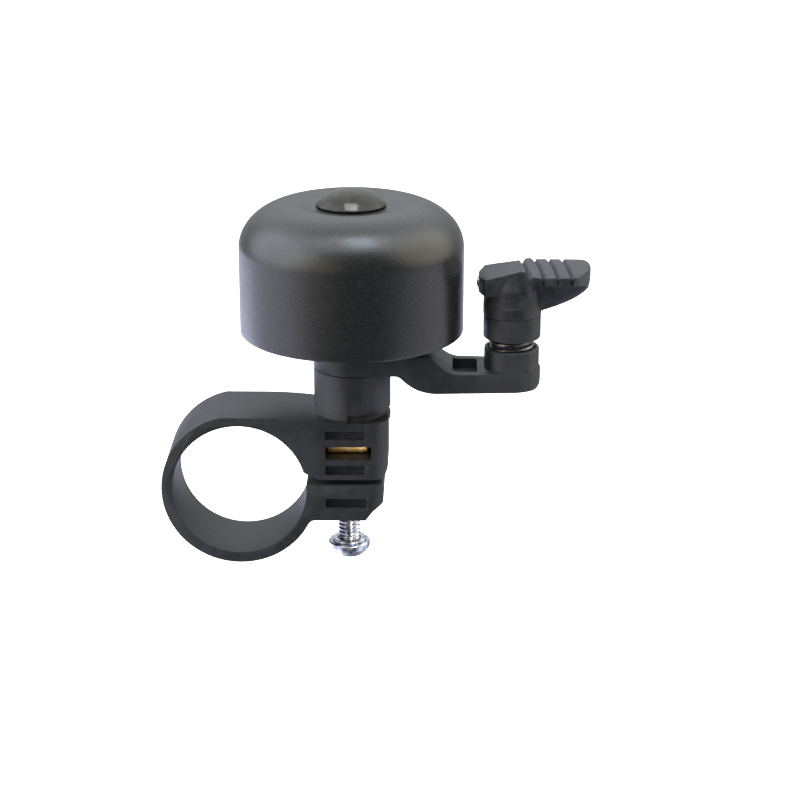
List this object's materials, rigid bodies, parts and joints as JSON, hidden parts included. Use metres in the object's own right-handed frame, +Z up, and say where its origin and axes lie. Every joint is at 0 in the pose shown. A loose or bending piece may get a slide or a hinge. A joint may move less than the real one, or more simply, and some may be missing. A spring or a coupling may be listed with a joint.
{
  "type": "bicycle bell",
  "caption": "Small dome bell on a handlebar band clamp, with a thumb striker that stands on a bending spring at the end of a swivelling arm.",
  "frame": {"origin": "centre of the clamp's bore, on the handlebar's axis, halfway along the band's width", "axes": "+Y along the handlebar, +Z up along the bell's post from the bar towards the dome's crown, +X from the bar towards the bell and its thumb lever"},
  "size_m": [0.0716, 0.0372, 0.0645],
  "materials": {
    "nylon": "satin moulded nylon, black",
    "lever_nylon": "satin moulded nylon, charcoal",
    "dome_paint": "satin black paint with a fine sparkle",
    "gloss_black": "polished black",
    "rubber": "matte",
    "brass": "machined",
    "zinc": "bright zinc plate",
    "steel": "plain",
    "spring_steel": "drawn wire"
  },
  "bodies": {
    "clamp_and_bell": {"clamp_bracket": "nylon", "clamp_nut": "brass", "ear_ferrule": "brass", "post_insert": "brass", "friction_washer": "steel", "spacer_sleeve": "nylon", "dome_cushion": "rubber", "bell_dome": "dome_paint", "dome_washer": "steel", "dome_screw": "steel", "screw_cap": "gloss_black"},
    "arm": {"striker_arm": "nylon", "lower_spring_plug": "steel", "spring_screw": "zinc", "flex_spring": "spring_steel"},
    "striker": {"striker_sleeve": "nylon", "thumb_lever": "lever_nylon", "upper_spring_plug": "steel", "striker_pin": "steel"},
    "screw_carriage": {"screw_washer": "zinc"},
    "turning_screw": {"clamp_screw": "zinc"}
  },
  "joints": [
    {"name": "arm_swivel", "type": "hinge", "parent": "clamp_and_bell", "child": "arm", "pos_m": [0.01885, 0, 0.0215], "axis": [0, 0, 1], "continuous": true},
    {"name": "lever_flick", "type": "hinge", "parent": "arm", "child": "striker", "pos_m": [0.0455, 0, 0.0243], "axis": [0, 1, 0], "range_deg": [-11.8, 15], "stiffness_Nm_per_rad": 0.15, "deforming": ["flex_spring"]},
    {"name": "screw_travel", "type": "slide", "parent": "clamp_and_bell", "child": "screw_carriage", "axis": [0, 0, 1], "range_m": [0, 0.00525]},
    {"name": "screw_turn", "type": "hinge", "parent": "screw_carriage", "child": "turning_screw", "pos_m": [0.01815, 0, 0], "axis": [0, 0, 1], "range_deg": [0, 2701]}
  ],
  "couplings": [
    {"joint": "screw_turn", "follows": "screw_travel", "rad_per_m": 8976}
  ]
}
